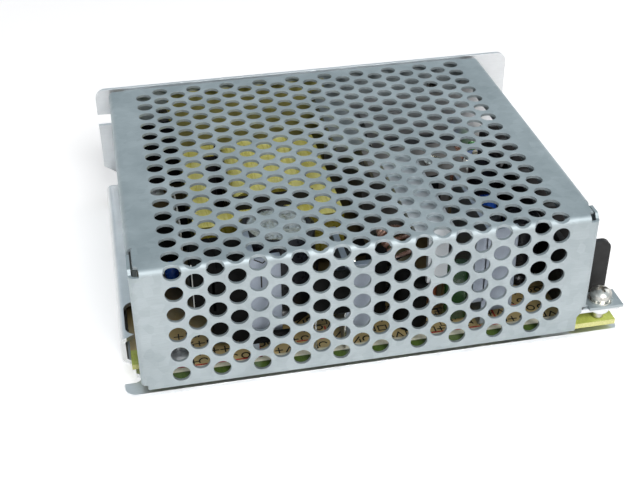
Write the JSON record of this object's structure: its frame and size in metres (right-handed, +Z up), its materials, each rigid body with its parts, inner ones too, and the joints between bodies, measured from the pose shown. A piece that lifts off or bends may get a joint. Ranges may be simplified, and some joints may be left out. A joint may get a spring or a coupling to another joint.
{
  "type": "mesh case switching power supply",
  "caption": "Enclosed switching power supply with a perforated steel cover, an aluminium chassis and a row of screw terminals at one end.",
  "frame": {"origin": "middle of the chassis underside", "axes": "+X along the length towards the terminals, +Y towards the solid long wall, +Z up"},
  "size_m": [0.129, 0.098, 0.038],
  "materials": {
    "galvanised_cover": "dull galvanised steel sheet",
    "chassis_sheet": "plain aluminium sheet",
    "board": "glass and paper laminate with a dark green margin",
    "clear_film": "translucent insulating film",
    "yellow_sheet": "dull yellow insulating sheet",
    "terminal_plastic": "black moulded plastic",
    "tinned_brass": "tinned brass",
    "plated_steel": "nickel plated steel",
    "ferrite": "dark grey ferrite",
    "yellow_tape": "yellow polyester tape",
    "black_plastic": "black moulding compound",
    "black_sleeve": "black shrink sleeve",
    "blue_sleeve": "blue shrink sleeve",
    "heatsink_aluminium": "rolled aluminium",
    "choke_powder": "yellow coated powder core",
    "copper_wire": "enamelled copper wire",
    "blue_coating": "blue epoxy coating",
    "green_coating": "dark green epoxy coating",
    "orange_coating": "orange lacquer",
    "grey_case": "grey moulded case",
    "fuse_ceramic": "white ceramic tube with metal caps",
    "trimmer_plastic": "blue moulded plastic",
    "rotor_plastic": "cream moulded plastic",
    "lamp_resin": "green diffusing resin"
  },
  "bodies": {
    "case": {"chassis": "chassis_sheet", "cover": "galvanised_cover", "pcb": "board", "base_film": "clear_film", "wall_insulator": "yellow_sheet", "barrier_sheet": "clear_film", "terminal_housing": "terminal_plastic", "terminal_contacts": "tinned_brass", "ear_bracket": "chassis_sheet", "ear_screw": "plated_steel", "ear_spring_washer": "plated_steel", "ear_flat_washer": "plated_steel", "cover_screws": "plated_steel", "board_screws": "plated_steel", "transformer_core": "ferrite", "core_tape": "yellow_tape", "transformer_bobbin": "black_plastic", "transformer_winding": "yellow_tape", "bulk_capacitor": "black_sleeve", "switch_heatsink": "heatsink_aluminium", "switch_transistor": "black_plastic", "heatsink_screws": "plated_steel", "snubber_heatsink": "heatsink_aluminium", "snubber_diode": "black_plastic", "rectifier_heatsink": "heatsink_aluminium", "rectifier_diode": "black_plastic", "output_heatsink": "heatsink_aluminium", "output_diode": "black_plastic", "inlet_heatsink": "heatsink_aluminium", "bridge_rectifier": "black_plastic", "top_bracket": "heatsink_aluminium", "choke_core": "choke_powder", "choke_winding": "copper_wire", "output_capacitor_1": "black_sleeve", "output_capacitor_2": "black_sleeve", "output_capacitor_3": "black_sleeve", "disc_capacitor": "blue_coating", "varistor": "blue_coating", "film_capacitor": "green_coating", "control_capacitor": "blue_sleeve", "upright_resistor": "orange_coating", "x_capacitor": "grey_case", "filter_core": "ferrite", "filter_winding": "copper_wire", "inlet_thermistor": "green_coating", "fuse_tube": "fuse_ceramic", "fuse_clips": "tinned_brass", "optocoupler": "black_plastic", "trimmer_body": "trimmer_plastic", "indicator_lamp": "lamp_resin"},
    "terminal_screw_1": {"terminal_screw_1": "plated_steel"},
    "terminal_screw_2": {"terminal_screw_2": "plated_steel"},
    "terminal_screw_3": {"terminal_screw_3": "plated_steel"},
    "terminal_screw_4": {"terminal_screw_4": "plated_steel"},
    "terminal_screw_5": {"terminal_screw_5": "plated_steel"},
    "terminal_screw_6": {"terminal_screw_6": "plated_steel"},
    "terminal_screw_7": {"terminal_screw_7": "plated_steel"},
    "trimmer_rotor": {"trimmer_rotor": "rotor_plastic"}
  },
  "joints": [
    {"name": "terminal_1_backout", "type": "slide", "parent": "case", "child": "terminal_screw_1", "axis": [0, 0, 1], "range_m": [0, 0.003]},
    {"name": "terminal_2_backout", "type": "slide", "parent": "case", "child": "terminal_screw_2", "axis": [0, 0, 1], "range_m": [0, 0.003]},
    {"name": "terminal_3_backout", "type": "slide", "parent": "case", "child": "terminal_screw_3", "axis": [0, 0, 1], "range_m": [0, 0.003]},
    {"name": "terminal_4_backout", "type": "slide", "parent": "case", "child": "terminal_screw_4", "axis": [0, 0, 1], "range_m": [0, 0.003]},
    {"name": "terminal_5_backout", "type": "slide", "parent": "case", "child": "terminal_screw_5", "axis": [0, 0, 1], "range_m": [0, 0.003]},
    {"name": "terminal_6_backout", "type": "slide", "parent": "case", "child": "terminal_screw_6", "axis": [0, 0, 1], "range_m": [0, 0.003]},
    {"name": "terminal_7_backout", "type": "slide", "parent": "case", "child": "terminal_screw_7", "axis": [0, 0, 1], "range_m": [0, 0.003]},
    {"name": "trimmer_turn", "type": "hinge", "parent": "case", "child": "trimmer_rotor", "pos_m": [0.0539, 0.036, 0.008], "axis": [0, 0, 1], "range_deg": [-130, 130]}
  ]
}
